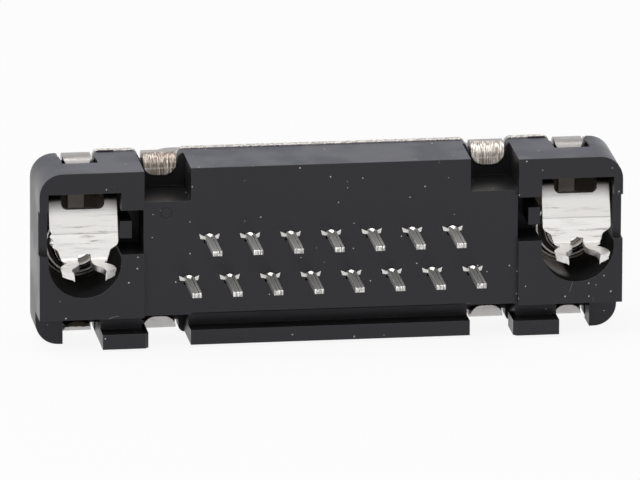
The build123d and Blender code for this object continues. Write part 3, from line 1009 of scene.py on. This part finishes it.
@dataclass
class ThreadedInsert:
    """One clinched insert: a turned body, and its thread's ridge by Geometry Nodes.

    The first five lengths are radii, from the thread's crest out to the clinched flare,
    and those that end in rear or front are depths.
    """

    side: Side
    stem: str = "threaded_insert"
    crest: float = 1.1 * MM
    root: float = 1.36 * MM
    neck: float = 1.42 * MM
    collar: float = 1.66 * MM
    flare: float = 1.9 * MM
    rear: float = -1.4 * MM
    bore_rear: float = -1.18 * MM
    bore_front: float = -0.24 * MM
    collar_front: float = -0.85 * MM
    neck_front: float = -0.3 * MM
    front: float = -0.02 * MM
    rear_mouth: float = 0.04 * MM
    front_mouth: float = 0.09 * MM
    collar_chamfer: float = 0.11 * MM
    pitch: float = 0.635 * MM
    steps: int = 72
    sharp_angle: float = 25.0

    def _outline(self) -> list[Span]:
        """Radius and depth of the body's corners, from the bore's rear end round to its front."""
        return [
            (self.root, self.bore_rear),
            (self.root + self.rear_mouth, self.rear),
            (self.collar - self.collar_chamfer, self.rear),
            (self.collar, self.rear + self.collar_chamfer),
            (self.collar, self.collar_front),
            (self.neck, self.collar_front),
            (self.neck, self.neck_front),
            (self.flare, self.front),
            (self.root + self.front_mouth, self.front),
            (self.root, self.bore_front),
        ]

    def _body(self, name: str) -> bpy.types.Mesh:
        """Turned body: the outline swept round the screw's axis."""
        outline = self._outline()
        count = len(outline)
        points, faces = [], []
        for step in range(self.steps):
            angle = 2.0 * math.pi * step / self.steps
            for radius, depth in outline:
                along, up = radius * math.cos(angle), radius * math.sin(angle)
                points.append((self.side.value * SCREW_X + along, depth, up))
            start, after = step * count, (step + 1) % self.steps * count
            for index in range(count):
                beside = (index + 1) % count
                faces.append((start + index, after + index, after + beside, start + beside))
        mesh = bpy.data.meshes.new(name)
        mesh.from_pydata(points, [], faces)
        work = bmesh.new()
        work.from_mesh(mesh)
        bmesh.ops.recalc_face_normals(work, faces=work.faces)
        work.to_mesh(mesh)
        work.free()
        mesh.shade_smooth()
        mesh.set_sharp_from_angle(angle=math.radians(self.sharp_angle))
        return mesh

    def build(self, tree: bpy.types.NodeTree) -> None:
        """Make the insert in place of its node."""
        name = self.side.node("insert")
        piece = show(name, self._body(name))
        modifier = piece.modifiers.new("thread", "NODES")
        # The ridge's section is a triangle, one and a half times as high as its circle's radius.
        ridge = (self.root - self.crest) / 1.5
        length = self.bore_front - self.bore_rear
        values = {
            "Turns": length / self.pitch,
            "Radius": self.root - ridge / 2.0,
            "Length": length,
            "Ridge": ridge,
            "Place": (self.side.value * SCREW_X, self.bore_rear, 0.0),
        }
        modifier.node_group = tree
        for item in tree.interface.items_tree:
            if item.in_out == "INPUT" and item.name in values:
                modifier[item.identifier] = values[item.name]
        graph = bpy.context.evaluated_depsgraph_get()
        mesh = bpy.data.meshes.new_from_object(piece.evaluated_get(graph))
        piece.modifiers.remove(modifier)
        piece.data = mesh
        settle(piece, self.side.node(self.stem))
        LOG.info("made %s with %d faces", piece.name, len(mesh.polygons))


@dataclass
class Studio:
    """Plain pale floor, white surroundings, soft lamps and the camera."""

    turn: float = 7.90
    tilt: float = 15.56
    roll: float = 0.209
    distance: float = 952.0 * MM
    focal_pixels: float = 14206.0
    image_width: float = 640.0
    sensor: float = 36.0
    aim: Triple = (0.0, -5.45 * MM, 0.0)
    aim_right: float = -0.732 * MM
    aim_up: float = 0.862 * MM
    white: Colour = (1.0, 1.0, 1.0)
    floor_size: float = 4.0
    floor_colour: Colour = (0.9, 0.9, 0.9)
    floor_rough: float = 0.9
    floor_white: float = 0.9
    ambient: float = 0.5

    def build(self) -> None:
        """Build everything round the connector."""
        self._camera()
        self._world()
        self._floor()
        self._lamp("top_softbox", (-0.12, -0.1, 0.42), 0.34, 0.8)
        self._lamp("front_softbox", (-0.25, -0.5, 0.22), 0.3, 0.5)
        bpy.context.scene.view_settings.view_transform = "Standard"
        LOG.info("built the studio")

    def _camera(self) -> None:
        """Camera that sees the connector from behind, a little from the left and above."""
        turn, tilt, roll = (math.radians(angle) for angle in (self.turn, self.tilt, self.roll))
        ahead = Vector((math.sin(turn) * math.cos(tilt), math.cos(turn) * math.cos(tilt), -math.sin(tilt)))
        level = Vector((math.cos(turn), -math.sin(turn), 0.0))
        upright = level.cross(ahead)
        right = level * math.cos(roll) + upright * math.sin(roll)
        up = upright * math.cos(roll) - level * math.sin(roll)
        target = Vector(self.aim) + level * self.aim_right + upright * self.aim_up
        data = bpy.data.cameras.new("photo_camera")
        data.sensor_width = self.sensor
        data.lens = self.focal_pixels * self.sensor / self.image_width
        data.clip_start = 0.01
        data.clip_end = 20.0
        camera = show("photo_camera", data)
        axes = Matrix((right, up, -ahead)).transposed()
        camera.matrix_world = Matrix.Translation(target - ahead * self.distance) @ axes.to_4x4()
        bpy.context.scene.camera = camera

    def _seen_or_mirrored(self, desk: Desk) -> Socket:
        """One for rays that show the surroundings, in the view or in a reflection."""
        path = desk.add("ShaderNodeLightPath").outputs
        seen = desk.math("MAXIMUM", path["Is Camera Ray"], path["Is Glossy Ray"])
        return desk.math("MAXIMUM", seen, path["Is Transmission Ray"])

    def _world(self) -> None:
        """White where it is seen, dimmer where it lights."""
        world = bpy.data.worlds.new("white_room")
        world.use_nodes = True
        bpy.context.scene.world = world
        desk = Desk(world.node_tree)
        strength = desk.fade(self._seen_or_mirrored(desk), self.ambient, 1.0)
        background = world.node_tree.nodes["Background"]
        desk.feed(background.inputs["Color"], self.white)
        desk.feed(background.inputs["Strength"], strength)

    def _floor(self) -> None:
        """Pale floor under the connector, nearly white in the view."""
        half = self.floor_size / 2
        level = min(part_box(name)[0].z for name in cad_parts)
        mesh = bpy.data.meshes.new("floor")
        corners = [(-half, -half, level), (half, -half, level), (half, half, level), (-half, half, level)]
        mesh.from_pydata(corners, [], [(0, 1, 2, 3)])
        floor = show("floor", mesh)
        material = bpy.data.materials.new("pale_floor")
        material.use_nodes = True
        nodes = material.node_tree.nodes
        desk = Desk(material.node_tree)
        surface = nodes["Principled BSDF"]
        desk.feed(surface.inputs["Base Color"], self.floor_colour)
        desk.feed(surface.inputs["Roughness"], self.floor_rough)
        glow = desk.add("ShaderNodeEmission", {"Color": self.white, "Strength": 1.0})
        share = desk.product(self._seen_or_mirrored(desk), self.floor_white)
        mixed = desk.add("ShaderNodeMixShader", {0: share, 1: surface.outputs[0], 2: glow.outputs[0]})
        desk.feed(nodes["Material Output"].inputs["Surface"], mixed.outputs[0])
        dress(floor, material)

    def _lamp(self, name: str, place: Triple, size: float, power: float) -> None:
        """Square soft lamp that faces the connector."""
        data = bpy.data.lights.new(name, "AREA")
        data.shape = "SQUARE"
        data.size = size
        data.energy = power
        lamp = show(name, data)
        lamp.location = place
        lamp.rotation_euler = Vector(place).to_track_quat("Z", "Y").to_euler()


def main() -> None:
    """Build the finishes, the sub-assemblies and the studio in order."""
    logging.basicConfig(level=logging.INFO, format="%(name)s: %(message)s")
    effects = Effects()
    Studio().build()
    Housing().build(MouldedPlastic().build(effects))
    Shell().build(PlatedSteel().build(effects))
    ContactField().build(ContactMetal().build(effects))
    strap = TinnedStrap().build(effects)
    thread = screw_thread(TurnedNickel().build(effects))
    for side in Side:
        BoardLock(side).build(strap)
        ThreadedInsert(side).build(thread)
    for name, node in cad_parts.items():
        LOG.info("%s has %d faces", name, len(node.data.polygons))


if __name__ == "__main__":
    main()
